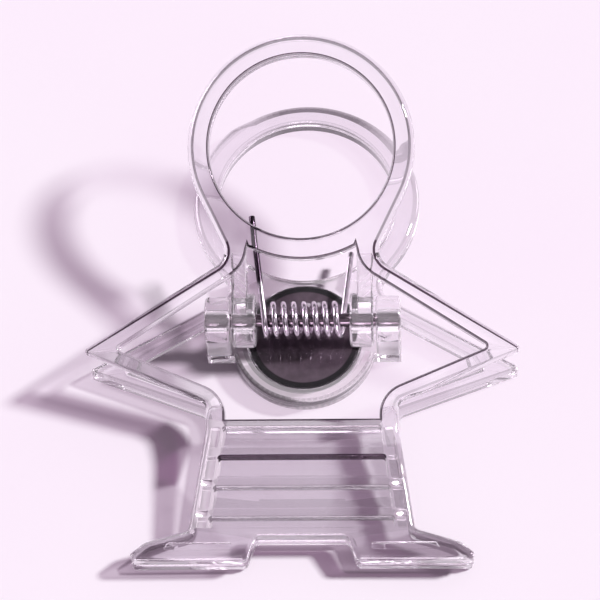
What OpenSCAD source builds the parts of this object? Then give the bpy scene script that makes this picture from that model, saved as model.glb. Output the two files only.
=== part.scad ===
// Sprung memo clip in clear plastic, shaped like a standing figure, lying on its back.
// A flat rear half holds a disc magnet in a cup. A front lever turns on a steel pin
// above the magnet, and a torsion spring on that pin keeps the toes pressed together.
// Pressing the two head rings together opens the toes.
// +X runs to the figure's left hand, +Y from the feet to the head, +Z away from the magnet's face.
// The origin is the middle of the magnet's face, on the plane that the clip sticks to.

/* [Plates] */
// Thickness of both mouldings
plate_t = 3; // [2.6:0.1:3.6]
// Thickness of each half at the toes
toe_t = 2.1; // [1.6:0.1:2.5]
// Width of the bars that form the arms
arm_band = 2.25; // [1.8:0.05:2.8]

/* [Head ring] */
// Outer radius of the front lever's head ring
head_r = 15.9; // [15:0.1:17]
// How much larger the outer radius of the rear half's head ring is
ring_extra = 0.5; // [0:0.1:0.8]
// Radius of the hole in both head rings
head_hole_r = 12.9; // [11.5:0.1:13.2]
// Distance from the hinge axis to the middle of the head, seen from the front
head_y = 21.3; // [20.9:0.1:24]

/* [Body outline] */
// Half width of the neck
neck_x = 10.1; // [9.8:0.1:11]
// Distance from the hinge axis up to the neck corner
neck_y = 6.7; // [6:0.1:7.5]
// Width of the bars beside the neck
neck_band = 2.5; // [2:0.1:3]
// Half span of the arms at the sharp corner of the hands
hand_x = 30.8; // [28:0.1:33]
// Distance from the hinge axis down to the hands
hand_drop = 5.6; // [4.5:0.1:6.5]
// Half width of the waist
waist_x = 13.4; // [12.5:0.1:14.5]
// Distance from the hinge axis down to the waist corner
waist_drop = 12.4; // [11.8:0.1:13]
// Width of the rails beside the waist and legs
rail_w = 2.7; // [2.2:0.1:3.2]

/* [Legs] */
// Distance from the hinge axis down to the bend of the front lever and the upper edge of the leg plates
bend_drop = 14.6; // [14:0.1:15.5]
// Distance from the hinge axis down to the ends of the feet
toe_drop = 34.6; // [33:0.1:37]
// Height of the ankle above the ends of the feet
ankle_h = 4.4; // [4:0.1:5]
// Half width at the ankle
ankle_x = 15.5; // [14.5:0.1:16.5]
// Half width at the toes
toe_x = 23.6; // [22:0.1:25]
// Height of the toe caps, along the foot
toe_cap = 0.9; // [0.6:0.1:1.4]
// Half width of the notch between the feet
notch_x = 6.4; // [5.5:0.1:7.5]
// Depth of the notch between the feet
notch_h = 3.4; // [2.8:0.1:3.6]
// Number of cross ribs on the front of the legs
rib_count = 3; // [2:1:3]
// Width of a cross rib
rib_w = 1.35; // [1:0.05:1.6]
// Place of the first rib's middle, as a share of the way from the bend to the notch
rib_first = 0.3; // [0.26:0.002:0.32]
// Distance from one rib to the next, as a share of the same way
rib_step = 0.256; // [0.22:0.002:0.27]
// Depth of the pockets between the ribs
pocket_d = 1.1; // [0.6:0.1:1.3]
// Depth of the shallow panels beside the pockets, in the rails
panel_d = 0.4; // [0.2:0.05:0.6]
// Width of a panel
panel_w = 1.2; // [0.8:0.1:1.4]

/* [Hinge] */
// Height of the hinge axis above the magnet's face
hinge_z = 7.2; // [7:0.1:8]
// Distance from the middle of the magnet to the hinge axis, towards the head
hinge_y = 0.4; // [0:0.1:0.8]
// Angle between the front lever's upper part and the rear half when the toes are shut
tilt = 20; // [17:0.5:22]
// Distance from the hinge axis to the middle plane of the front lever
lever_rise = 3.6; // [3.5:0.1:4.2]
// Radius of the steel pin
pin_r = 0.95; // [0.8:0.05:1.2]
// Radius of the round lugs of the front lever
lug_r = 3.8; // [3.2:0.1:3.8]
// Distance between the two lugs of the front lever
lug_gap = 13.2; // [12.8:0.1:13.6]
// Width of a lug of the front lever
lug_w = 3.3; // [2.8:0.1:3.6]
// Radius of the round tops of the rear half's ears
ear_r = 3.4; // [2.8:0.1:3.5]
// Width of an ear of the rear half
ear_w = 3.5; // [3:0.1:4]

/* [Magnet] */
// Radius of the disc magnet
magnet_r = 8; // [7:0.1:8]
// Thickness of the disc magnet
magnet_t = 2.2; // [1.8:0.1:2.3]
// Thickness of the cup's wall round the magnet
cup_wall = 2.2; // [1.6:0.1:2.6]

/* [Spring] */
// Diameter of the spring wire
wire_d = 0.86; // [0.7:0.02:0.9]
// Radius of the coil at the middle of the wire
coil_r = 2.3; // [2.1:0.05:2.5]
// Distance from one curl to the next
coil_pitch = 1.42; // [1.32:0.02:1.46]
// Number of full curls, to which the half curl between the legs is added
curls = 7; // [5:1:7]
// Length of the leg that presses on the front lever
front_leg = 14.6; // [13.5:0.1:16]
// Length of the leg that presses on the rear half
rear_leg = 13; // [12:0.1:14.5]
// How far the front leg leans out along the pin from its coil end to its tip
front_lean = 1.8; // [1.2:0.1:2]
// How far the rear leg leans out along the pin from its coil end to its tip
rear_lean = 1.3; // [0.8:0.1:1.5]

/* [Clearances] */
// Running clearance of the lugs on the pin, on the radius
pin_clear = 0.05; // [0.02:0.01:0.1]
// Clearance of the pin in the ears that hold it, on the radius
pin_hold = 0.02; // [0.01:0.01:0.04]
// Gap between a lug and the ear beside it
side_clear = 0.3; // [0.2:0.05:0.5]
// Clearance of the magnet in its cup, on the radius
magnet_clear = 0.1; // [0.05:0.01:0.2]
// Gap between the toes when they are shut
jaw_gap = 0.1; // [0.05:0.01:0.2]
// Gap between a spring leg and the plate that it presses on
leg_gap = 0.1; // [0.05:0.01:0.2]

/* [Hidden] */
$fn = 96;
clear_plastic = [0.93, 0.91, 0.95, 0.45];
steel = [0.72, 0.71, 0.74];
ferrite = [0.2, 0.18, 0.21];

// Roundings of the outline, in the plane of the plates
neck_round = 2.4;
hand_round = 0.55;
waist_round = 1;
leg_round = 6;
ankle_round = 0.8;
foot_round = 3;
toe_round = 0.55;
heel_round = 0.8;
notch_round = 0.8;
armpit_round = 5;
elbow_round = 0.4;
hip_round = 4.5;
// Straight part of the waist below the bend
waist_run = 2;
// The bowed upper side of the foot turns this far in from the toes and this far above the toe caps
foot_turn = [1.8, 1.8];
// The toe caps slant in by this much, and the heels stand this far out from the notch
toe_slant = 0.5;
heel_out = 1.2;
// The gusset lines end this far inside the ring
ring_tuck = 0.1;
// Chamfers of the pin's ends and of the magnet's rims
pin_chamfer = 0.2;
magnet_chamfer = 0.25;
// The arms of the lugs stop this far inside the faces of the plate
arm_inset = 0.4;
// Angle below the pin at which the arm of a lug leaves its round end
arm_foot = 40;
// The lowest pocket stops this far short of the notch
pocket_stop = 1.1;
// The panels in the rails lie this far outside the pockets
panel_in = 0.4;
// The arms of the lugs run this far up past the neck corner
arm_lap = 1.2;
// Cuts run this far past the faces that they open
cut_over = 1;
// The upper part of the front lever overlaps the legs by this much at the bend
bend_lap = 0.8;

arc_steps = 8;
curl_rings = 8;
wire_sides = 6;
wire_r = wire_d / 2;
ankle_drop = toe_drop - ankle_h;
notch_drop = toe_drop - notch_h;
leg_length = notch_drop - bend_drop;
ear_x = lug_gap / 2 + lug_w + side_clear;
pin_length = 2 * (ear_x + ear_w);
cup_r = magnet_r + magnet_clear + cup_wall;
// Wider and longer than the whole clip
span = 4 * hand_x;

// Distance along the front lever at which a point stands over the rear half's point y
function lift(y) = (y + lever_rise * sin(tilt)) / cos(tilt);
function along(y, lifted) = lifted ? lift(y) : y;
function unit(v) = v / norm(v);
// Point a moved by d to the right of the way from a to b
function beside(a, b, d) = a + d * unit([b.y - a.y, a.x - b.x]);
// Where the line through a and b meets the line through c and d
function meet(a, b, c, d) = a + (b - a) * cross(c - a, d - c) / cross(b - a, d - c);
// Touching point, to the right, of the line from p to a circle
function touch(p, middle, r) =
    let (d = norm(p - middle), turn = atan2(p.y - middle.y, p.x - middle.x) + acos(min(1, r / d)))
    middle + r * [cos(turn), sin(turn)];

// Points of the arc of radius r that rounds the corner b between a and c
function corner(a, b, c, r) = r == 0 ? [b] :
    let (u = unit(a - b), w = unit(c - b), half = acos(u * w) / 2)
    let (middle = b + unit(u + w) * r / sin(half))
    let (p = b + u * r / tan(half) - middle, q = b + w * r / tan(half) - middle)
    let (from = atan2(p.y, p.x), sweep = atan2(cross(p, q), p * q))
    [for (i = [0:arc_steps]) let (t = from + sweep * i / arc_steps) middle + r * [cos(t), sin(t)]];
// Outline through corners [x, y, rounding]
function rounded(path) = let (n = len(path)) [for (i = [0:n - 1]) each corner(
    flat(path[(i + n - 1) % n]), flat(path[i]), flat(path[(i + 1) % n]), path[i][2])];
function flat(p) = [p.x, p.y];
// The path for the right side, closed with its mirror image
function both_sides(path) =
    concat(path, [for (i = [len(path) - 1:-1:0]) [-path[i].x, path[i].y, path[i][2]]]);

// Corners of the body's right side, in the plane of either half
function neck(lifted) = [neck_x, along(neck_y, lifted)];
function hand(lifted) = [hand_x, along(-hand_drop, lifted)];
function waist(lifted) = [waist_x, along(-waist_drop, lifted)];
function head(lifted) = [0, along(head_y, lifted)];
function ring_r(lifted) = lifted ? head_r : head_r + ring_extra;

// Head gusset, shoulder, hand and waist
function trunk_path(lifted) =
    let (gusset = touch(neck(lifted), head(lifted), ring_r(lifted) - ring_tuck))
    [[ring_tuck, head(lifted).y, 0], [each gusset, 0], [each neck(lifted), neck_round],
     [each hand(lifted), hand_round], [each waist(lifted), waist_round]];
// Outer side of the leg, then the foot and the notch between the feet
function leg_path() =
    [[waist_x, -bend_drop - waist_run, leg_round], [ankle_x, -ankle_drop, ankle_round],
     [toe_x - foot_turn.x, -toe_drop + toe_cap + foot_turn.y, foot_round],
     [toe_x, -toe_drop + toe_cap, toe_round],
     [toe_x - toe_slant, -toe_drop, toe_round], [notch_x + heel_out, -toe_drop, heel_round],
     [notch_x, -notch_drop, notch_round]];
// Opening inside the arms, from the neck down to the line where it stops
function window_path(lifted, stop) =
    let (n = neck(lifted), h = hand(lifted), w = waist(lifted))
    let (s1 = beside(n, h, arm_band), s2 = beside(h, n, -arm_band))
    let (a1 = beside(h, w, arm_band), a2 = beside(w, h, -arm_band))
    let (in_x = neck_x - neck_band, hip_x = waist_x - rail_w)
    let (armpit = meet(s1, s2, [in_x, 0], [in_x, 1]), hip = meet(a1, a2, [hip_x, 0], [hip_x, 1]))
    [[in_x, head(lifted).y, 0], [each armpit, armpit_round], [each meet(s1, s2, a1, a2), elbow_round],
     [each hip, hip_round], [hip_x, stop, 0]];

// Flat shape of one half: ring and body without the openings
module half_shape(lifted, lower_path, window_stop) {
    difference() {
        union() {
            difference() {
                polygon(rounded(both_sides(concat(trunk_path(lifted), lower_path))));
                polygon(rounded(both_sides(window_path(lifted, window_stop))));
            }
            translate(head(lifted)) circle(ring_r(lifted));
            children();
        }
        translate(head(lifted)) circle(head_hole_r);
    }
}

// Side view shapes, drawn as [y, z] and run across the clip along X
module across(width) {
    rotate([90, 0, 90]) linear_extrude(width, center = true) children();
}
module on_hinge() {
    translate([0, hinge_y, 0]) children();
}
module on_pin() {
    translate([0, hinge_y, hinge_z]) children();
}
module each_side() {
    children();
    mirror([1, 0, 0]) children();
}

// Height of the rear half's gripping face, which falls from the bend to the toes
function rear_jaw(y) = plate_t + (toe_t - plate_t) * (-y - bend_drop) / (toe_drop - bend_drop);

module rear_half() {
    color(clear_plastic) difference() {
        union() {
            on_hinge() linear_extrude(plate_t) half_shape(false, leg_path(), -bend_drop) rear_chest();
            on_pin() each_side() rear_ear();
        }
        on_hinge() across(span) rear_jaw_cut();
        translate([0, 0, -cut_over]) cylinder(r = magnet_r + magnet_clear, h = magnet_t + cut_over);
        on_pin() rotate([0, 90, 0]) cylinder(r = pin_r + pin_hold, h = span, center = true);
    }
}
// Round cup and the web that ties it to the neck and the ears
module rear_chest() {
    web_x = ear_x + ear_w / 2;
    translate([0, -hinge_y]) circle(cup_r);
    translate([-neck_x, 0]) square([2 * neck_x, head_y - head_hole_r]);
    translate([-web_x, 0]) square([2 * web_x, neck_y - arm_band]);
}
module rear_jaw_cut() {
    low = -toe_drop - cut_over;
    above = plate_t + cut_over;
    polygon([[-bend_drop, plate_t], [low, rear_jaw(low)], [low, above], [-bend_drop, above]]);
}
// An ear stands on a foot that ties it to the magnet's cup
module rear_ear() {
    translate([ear_x + ear_w / 2, 0, 0]) across(ear_w) {
        circle(ear_r);
        translate([-ear_r, -hinge_z]) square([2 * ear_r, hinge_z]);
    }
    translate([magnet_r + cup_wall / 2, -ear_r, -hinge_z])
        cube([ear_x + ear_w / 2 - magnet_r, 2 * ear_r, plate_t]);
}

// Bend of the front lever: middle of the plate, and the line that halves the bend
bend_y = -bend_drop;
bend_z = hinge_z + lift(bend_y) * sin(tilt) + lever_rise * cos(tilt);
toe_z = toe_t + jaw_gap + toe_t / 2;
leg_tilt = atan2(bend_z - toe_z, toe_drop - bend_drop);
bend_half = (tilt - leg_tilt) / 2;
bend_turn = leg_tilt + bend_half;
bend_reach = plate_t / 2 / cos(bend_half) * [-sin(bend_turn), cos(bend_turn)];
bend_top = [bend_y, bend_z] + bend_reach;
bend_low = [bend_y, bend_z] - bend_reach;
// Points on the faces of the leg plate, past the toes
function past_toes(bend, toe_face) = bend + (toe_face - bend) * (1 + cut_over / (toe_drop - bend_drop));
leg_top = past_toes(bend_top, [-toe_drop, toe_z + toe_t / 2]);
leg_low = past_toes(bend_low, [-toe_drop, toe_z - toe_t / 2]);

module front_lever() {
    color(clear_plastic) difference() {
        union() {
            intersection() {
                union() {
                    front_upper();
                    front_legs();
                }
                on_hinge() across(span) lever_profile();
            }
            on_pin() rotate([tilt, 0, 0]) each_side() front_lug();
        }
        on_hinge() leg_pockets();
        on_pin() rotate([0, 90, 0]) cylinder(r = pin_r + pin_clear, h = span, center = true);
    }
}
// Side view of the bent lever, which gives both its parts their thickness
module lever_profile() {
    far = span * [cos(tilt), sin(tilt)];
    polygon([leg_low, bend_low, bend_low + far, bend_top + far, bend_top, leg_top]);
}
// The half space on the head's side of the plane that halves the bend, moved down by d
module above_bend(d) {
    on_hinge() translate([0, bend_y - d, bend_z]) rotate([bend_turn, 0, 0])
        translate([-span / 2, 0, -span / 2]) cube(span);
}
// Head, neck and arms, whose rails run a little way into the legs
module front_upper() {
    below = [waist_x, lift(-toe_drop), 0];
    intersection() {
        on_pin() rotate([tilt, 0, 0]) translate([0, 0, lever_rise - plate_t]) linear_extrude(2 * plate_t)
            half_shape(true, [below], lift(-toe_drop) - cut_over);
        above_bend(bend_lap);
    }
}
// Leg plate with side rails and feet, up to the plane that halves the bend
module front_legs() {
    difference() {
        on_hinge() linear_extrude(span)
            polygon(rounded(both_sides(concat([[waist_x, -waist_drop, 0]], leg_path()))));
        above_bend(0);
    }
}
// Inner side of a leg's rail at the drop d below the hinge axis
function rail_x(d) = waist_x - rail_w + (ankle_x - waist_x) * (d - bend_drop) / (ankle_drop - bend_drop);
// Drop of rib i's middle below the hinge axis
function rib_drop(i) = bend_drop + (rib_first + i * rib_step) * leg_length;
// Pockets in the upper face of the leg plate, which leave the ribs standing
module leg_pockets() {
    sunk(pocket_d) each_pocket() pocket_shape();
    sunk(panel_d) each_side() each_pocket() panel_shape();
}
// A plan shape cut into the upper face of the leg plate to the depth d
module sunk(d) {
    intersection() {
        linear_extrude(span) children();
        across(span) translate([0, -d])
            polygon([bend_top + bend_reach, bend_top, leg_top, leg_top + [0, span]]);
    }
}
// Upper and lower ends of each pocket, as $from and $to
module each_pocket() {
    for (i = [0:rib_count]) {
        $from = i == 0 ? bend_drop + rib_w : rib_drop(i - 1) + rib_w / 2;
        $to = i == rib_count ? notch_drop - pocket_stop : rib_drop(i) - rib_w / 2;
        children();
    }
}
module pocket_shape() {
    polygon([[-rail_x($from), -$from], [rail_x($from), -$from], [rail_x($to), -$to], [-rail_x($to), -$to]]);
}
module panel_shape() {
    near = panel_in;
    far = panel_in + panel_w;
    polygon([[rail_x($from) + near, -$from], [rail_x($from) + far, -$from],
             [rail_x($to) + far, -$to], [rail_x($to) + near, -$to]]);
}
// A round lug on the pin and the arm that ties it to the neck, in the plane of the lever
module front_lug() {
    arm_x = neck_x - neck_band;
    arm_end = lift(neck_y) + arm_lap;
    arm_w = lug_gap / 2 + lug_w - arm_x;
    rise = plate_t / 2 - arm_inset;
    translate([(lug_gap + lug_w) / 2, 0, 0]) across(lug_w) circle(lug_r);
    translate([arm_x + arm_w / 2, 0, 0]) across(arm_w)
        polygon([[0, lug_r], [0, 0], lug_r * [cos(arm_foot), -sin(arm_foot)],
                 [arm_end, lever_rise - rise], [arm_end, lever_rise + rise]]);
}

module hinge_pin() {
    straight = pin_length - 2 * pin_chamfer;
    color(steel) on_pin() rotate([0, 90, 0]) {
        cylinder(r = pin_r, h = straight, center = true);
        each_end() translate([0, 0, straight / 2])
            cylinder(r1 = pin_r, r2 = pin_r - pin_chamfer, h = pin_chamfer);
    }
}
module each_end() {
    children();
    mirror([0, 0, 1]) children();
}

module magnet() {
    straight = magnet_t - 2 * magnet_chamfer;
    color(ferrite) translate([0, 0, magnet_t / 2]) {
        cylinder(r = magnet_r, h = straight, center = true);
        each_end() translate([0, 0, straight / 2])
            cylinder(r1 = magnet_r, r2 = magnet_r - magnet_chamfer, h = magnet_chamfer);
    }
}

// The spring, about the pin: a front leg, a coil that runs along +X and a rear leg
coil_start = -(curls + 0.5) * coil_pitch / 2;
front_leg_x = -coil_start + front_lean / 2;
rear_leg_x = -coil_start + rear_lean / 2;
// Each leg touches the coil and passes just clear of the plate that it presses on
front_seat = [lift(head_y) - sqrt(head_r ^ 2 - front_leg_x ^ 2), lever_rise - plate_t / 2 - wire_r - leg_gap];
rear_seat = [head_y - sqrt(head_hole_r ^ 2 - rear_leg_x ^ 2), plate_t + wire_r + leg_gap - hinge_z];
function bearing(p) = atan2(p.y, p.x);
front_turn = tilt + bearing(front_seat) - asin(coil_r / norm(front_seat));
rear_turn = bearing(rear_seat) + asin(coil_r / norm(rear_seat));
turn_from = 90 + front_turn;
turn_to = 270 + rear_turn + 360 * curls;
coil_rings = ceil((turn_to - turn_from) / 360 * curl_rings);
coil_points = [for (i = [0:coil_rings])
    let (t = turn_from + (turn_to - turn_from) * i / coil_rings)
    [coil_start - 2 * coil_start * i / coil_rings, coil_r * cos(t), coil_r * sin(t)]];
function leg_tip(foot, turn, length, lean) = foot + [lean, length * cos(turn), length * sin(turn)];
spring_points = [
    leg_tip(coil_points[0], front_turn, front_leg, -front_lean),
    each coil_points,
    leg_tip(coil_points[coil_rings], rear_turn, rear_leg, rear_lean)];
// Least gap of the wire to itself, measured on points at least half a curl apart
function between(a, b) = [for (k = [1:curl_rings - 1]) a + (b - a) * k / curl_rings];
gap_points = [
    each between(spring_points[0], coil_points[0]),
    each coil_points,
    each between(coil_points[coil_rings], spring_points[coil_rings + 2])];
gap_last = len(gap_points) - 1;
echo(spring_least_gap = min([for (i = [0:gap_last], j = [i + curl_rings / 2:1:gap_last])
    norm(gap_points[i] - gap_points[j])]) - wire_d);

// Ring of wire_sides points round point i of the path, square to the wire
function wire_ring(path, i) =
    let (last = len(path) - 1, ahead = path[min(i + 1, last)], behind = path[max(i - 1, 0)])
    let (into = path[i] - behind, out = ahead - path[i])
    let (way = i == 0 || i == last ? unit(ahead - behind) : unit(unit(out) + unit(into)))
    let (side = unit(cross(way, [1, 0, 0])), other = cross(way, side))
    [for (k = [0:wire_sides - 1]) let (a = 360 * k / wire_sides)
        path[i] + wire_r * (side * cos(a) + other * sin(a))];
module tube(path) {
    last = len(path) - 1;
    points = [for (i = [0:last]) each wire_ring(path, i)];
    sides = [for (i = [0:last - 1], k = [0:wire_sides - 1])
        let (p = i * wire_sides + k, q = i * wire_sides + (k + 1) % wire_sides)
        each [[p, q, q + wire_sides], [p, q + wire_sides, p + wire_sides]]];
    near_end = [for (k = [1:wire_sides - 2]) [0, k + 1, k]];
    base = last * wire_sides;
    far_end = [for (k = [1:wire_sides - 2]) [base, base + k, base + k + 1]];
    polyhedron(points, concat(sides, near_end, far_end));
}
module torsion_spring() {
    color(steel) on_pin() tube(spring_points);
}

rear_half();
front_lever();
hinge_pin();
torsion_spring();
magnet();
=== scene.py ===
"""Looks of the clear memo clip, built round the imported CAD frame, in metres."""
import math
from collections import namedtuple

import bmesh
import bpy
import numpy as np
from mathutils import Matrix, Vector
from mathutils.geometry import delaunay_2d_cdt


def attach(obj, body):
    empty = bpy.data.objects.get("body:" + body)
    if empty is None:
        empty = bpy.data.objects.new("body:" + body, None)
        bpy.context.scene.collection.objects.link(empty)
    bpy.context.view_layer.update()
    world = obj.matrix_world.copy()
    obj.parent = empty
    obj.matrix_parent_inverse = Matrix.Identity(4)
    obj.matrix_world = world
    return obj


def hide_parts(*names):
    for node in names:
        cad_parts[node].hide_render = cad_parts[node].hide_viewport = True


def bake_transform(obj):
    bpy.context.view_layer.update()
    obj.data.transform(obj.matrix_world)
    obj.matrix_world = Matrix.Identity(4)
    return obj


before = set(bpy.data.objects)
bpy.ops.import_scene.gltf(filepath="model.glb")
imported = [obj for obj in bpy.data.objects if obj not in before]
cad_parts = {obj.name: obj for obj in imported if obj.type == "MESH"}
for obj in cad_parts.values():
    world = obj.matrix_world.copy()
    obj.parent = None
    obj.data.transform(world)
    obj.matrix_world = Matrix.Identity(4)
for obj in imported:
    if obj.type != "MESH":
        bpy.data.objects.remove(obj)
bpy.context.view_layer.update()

MM = 0.001
scene = bpy.context.scene
scene.view_settings.view_transform = "Standard"
# Light goes to and fro many times inside the clear plates
scene.cycles.max_bounces = 24
scene.cycles.glossy_bounces = 16
scene.cycles.transmission_bounces = 24
scene.cycles.transparent_max_bounces = 32


# Node helpers

def plug(tree, value, socket):
    """Give a socket a number, a colour or the output of another node."""
    if isinstance(value, bpy.types.NodeSocket):
        tree.links.new(value, socket)
    elif socket.type == "RGBA":
        socket.default_value = (*value, 1.0)
    else:
        socket.default_value = value


def give(tree, node, **values):
    for key, value in values.items():
        plug(tree, value, node.inputs[key.replace("_", " ")])


def add(tree, kind, **values):
    """A new node. A value is one of the node's settings, or else one of its inputs."""
    node = tree.nodes.new(kind)
    for key, value in values.items():
        if hasattr(node, key):
            setattr(node, key, value)
        else:
            give(tree, node, **{key: value})
    return node


def new_material(name):
    """A material, its tree, its shader and the surface socket of its output."""
    mat = bpy.data.materials.new(name)
    mat.use_nodes = True
    tree = mat.node_tree
    tree.nodes.clear()
    out = add(tree, "ShaderNodeOutputMaterial")
    return mat, tree, add(tree, "ShaderNodeBsdfPrincipled"), out.inputs["Surface"]


def calc(tree, operation, *values, kind="ShaderNodeMath", output="Value"):
    node = add(tree, kind, operation=operation)
    for value, socket in zip(values, node.inputs):
        plug(tree, value, socket)
    return node.outputs[output]


def mix(tree, factor, a, b, blend="MIX"):
    return add(tree, "ShaderNodeMix", data_type="RGBA", blend_type=blend, Factor=factor, A=a, B=b).outputs["Result"]


def ramp(tree, source, stops):
    node = add(tree, "ShaderNodeValToRGB", Fac=source)
    elements = node.color_ramp.elements
    while len(elements) < len(stops):
        elements.new(0.5)
    for element, (place, colour) in zip(elements, stops):
        element.position = place
        element.color = (*colour, 1.0)
    return node.outputs["Color"]


def map_range(tree, source, low, high, start=0.0, end=1.0, kind="LINEAR"):
    """A source that goes from start to end, as a value from low to high."""
    return add(tree, "ShaderNodeMapRange", interpolation_type=kind, Value=source, From_Min=start, From_Max=end,
               To_Min=low, To_Max=high).outputs["Result"]


def place_on(tree):
    return add(tree, "ShaderNodeTexCoord").outputs["Object"]


def noise(tree, scale, detail, stretch=None):
    place = place_on(tree)
    if stretch:
        place = add(tree, "ShaderNodeMapping", Vector=place, Scale=stretch).outputs["Vector"]
    return add(tree, "ShaderNodeTexNoise", Vector=place, Scale=scale, Detail=detail).outputs["Fac"]


def bump(tree, height, strength, distance):
    return add(tree, "ShaderNodeBump", Height=height, Strength=strength, Distance=distance).outputs["Normal"]


# Materials

FACE_LAYERS = "edge", "veil", "haze", "frost"
WHITE = 1.0, 1.0, 1.0
PLASTIC_DARK, PLASTIC_LIGHT, PLASTIC_IOR = (0.97, 0.955, 0.975), (0.99, 0.985, 0.995), 1.57
# Painted shade of edges: the colour seen through them, and the tint of their reflections
EDGE_PAINTED_SHADE, EDGE_SHADED_GLOSS, EDGE_POWER = (0.012, 0.006, 0.011), (0.2, 0.16, 0.2), 8.0
UNVEILED, VEIL_TINT, HAZE_TINT = (0.99, 0.98, 0.99), (0.16, 0.06, 0.145), (0.8, 0.64, 0.77)
PIN_DARK, PIN_LIGHT = (0.1, 0.078, 0.095), (0.2, 0.16, 0.19)
SPRING_DARK, SPRING_LIGHT = (0.62, 0.55, 0.62), (0.84, 0.77, 0.84)
# Painted shade: black for the spring's front leg, where it mirrors only dark
LEG_SHADE_BLACK, SHADED_LEG_FROM, SHADED_LEG_FADE = (0.05, 0.035, 0.05), 3.6 * MM, 1.2 * MM
FERRITE_DARK, FERRITE_LIGHT, FERRITE_RIM = (0.077, 0.054, 0.071), (0.117, 0.083, 0.11), (0.008, 0.007, 0.009)
FERRITE_RIM_FROM, FERRITE_RIM_TO = 6.95 * MM, 7.15 * MM


def clear_plastic(name):
    """Clear glossy plastic. Each face carries painted shade (edge), which darkens what is seen through it and its
    reflections in place of the dark that clear edges refract and mirror, and says how much light it holds back
    when it stands in the light of the lamp (veil), and how cloudy (haze) and how rough (frost) it is."""
    mat, tree, body, surface = new_material(name)
    edge, veil, haze, frost = (add(tree, "ShaderNodeAttribute", attribute_name=layer).outputs["Fac"]
                               for layer in FACE_LAYERS)
    tone = ramp(tree, noise(tree, scale=140.0, detail=3.0), [(0.3, PLASTIC_DARK), (0.7, PLASTIC_LIGHT)])
    # Painted shade on the gloss: reflections of shaded faces are darkened inside the plastic, and of the darkest
    # outside too
    from_inside = add(tree, "ShaderNodeNewGeometry").outputs["Backfacing"]
    painted_gloss_shade = calc(tree, "MAXIMUM", calc(tree, "MULTIPLY", edge, from_inside), calc(tree, "POWER", edge, EDGE_POWER))
    polish = map_range(tree, noise(tree, scale=420.0, detail=4.0), 0.0, 0.02)
    give(tree, body, IOR=PLASTIC_IOR,
         Base_Color=mix(tree, edge, mix(tree, haze, tone, HAZE_TINT), EDGE_PAINTED_SHADE),
         Transmission_Weight=map_range(tree, haze, 1.0, 0.0),
         Specular_Tint=mix(tree, painted_gloss_shade, WHITE, EDGE_SHADED_GLOSS),
         Roughness=calc(tree, "ADD", polish, frost),
         Normal=bump(tree, noise(tree, scale=260.0, detail=2.0), strength=0.05, distance=0.15 * MM))
    # Light for other surfaces goes straight through, less what the veil holds back
    clear = add(tree, "ShaderNodeBsdfTransparent", Color=mix(tree, veil, UNVEILED, VEIL_TINT))
    path = add(tree, "ShaderNodeLightPath").outputs
    either = add(tree, "ShaderNodeMixShader",
                 Fac=calc(tree, "MAXIMUM", path["Is Shadow Ray"], path["Is Diffuse Ray"]))
    tree.links.new(body.outputs["BSDF"], either.inputs[1])
    tree.links.new(clear.outputs["BSDF"], either.inputs[2])
    tree.links.new(either.outputs["Shader"], surface)
    return mat


def steel(name, dark, light, rough, stretch=None, black_from=None):
    """Drawn steel. Past a distance along y, in metres, it is painted black on the left, in place of the dark that the
    spring's front leg mirrors.
    """
    mat, tree, body, surface = new_material(name)
    grain = noise(tree, scale=900.0, detail=4.0, stretch=stretch)
    colour = ramp(tree, grain, [(0.3, dark), (0.7, light)])
    if black_from:
        place = add(tree, "ShaderNodeSeparateXYZ", Vector=place_on(tree)).outputs
        along = map_range(tree, place["Y"], 0.0, 1.0, black_from, black_from + SHADED_LEG_FADE)
        colour = mix(tree, calc(tree, "MULTIPLY", along, calc(tree, "LESS_THAN", place["X"], 0.0)), colour, LEG_SHADE_BLACK)
    give(tree, body, Metallic=1.0, Base_Color=colour, Roughness=map_range(tree, grain, *rough),
         Normal=bump(tree, grain, strength=0.08, distance=0.03 * MM))
    tree.links.new(body.outputs["BSDF"], surface)
    return mat


def ferrite():
    """Dark sintered ferrite: a ground face, and black in a band round its edge."""
    mat, tree, body, surface = new_material("ferrite")
    grain = noise(tree, scale=900.0, detail=6.0)
    face = ramp(tree, grain, [(0.3, FERRITE_DARK), (0.75, FERRITE_LIGHT)])
    flat = calc(tree, "MULTIPLY", place_on(tree), (1.0, 1.0, 0.0), kind="ShaderNodeVectorMath", output="Vector")
    reach = calc(tree, "LENGTH", flat, kind="ShaderNodeVectorMath")
    rim = map_range(tree, reach, 0.0, 1.0, FERRITE_RIM_FROM, FERRITE_RIM_TO)
    give(tree, body, Specular_IOR_Level=0.15, Base_Color=mix(tree, rim, face, FERRITE_RIM),
         Roughness=map_range(tree, grain, 0.4, 0.6), Normal=bump(tree, grain, strength=0.1, distance=0.04 * MM))
    tree.links.new(body.outputs["BSDF"], surface)
    return mat


# Plane outlines, in mm

KINK = 0.004            # keeps a point on a straight side as a corner
STRAIGHT, NO_BEND = 0.01, 1e3
BEND_SHARE, GROWTH = 0.8, 0.3
LEAST_COSINE = 0.4      # limits how far the point of a sharp corner moves


def deg_sin(a):
    return math.sin(math.radians(a))


def deg_cos(a):
    return math.cos(math.radians(a))


def arc(middle, radius, start, end, steps):
    turns = [start + (end - start) * i / steps for i in range(steps + 1)]
    return [(middle[0] + radius * deg_cos(t), middle[1] + radius * deg_sin(t)) for t in turns]


def circle(middle, radius, steps):
    return arc(middle, radius, 0, 360, steps)[:-1]


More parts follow.
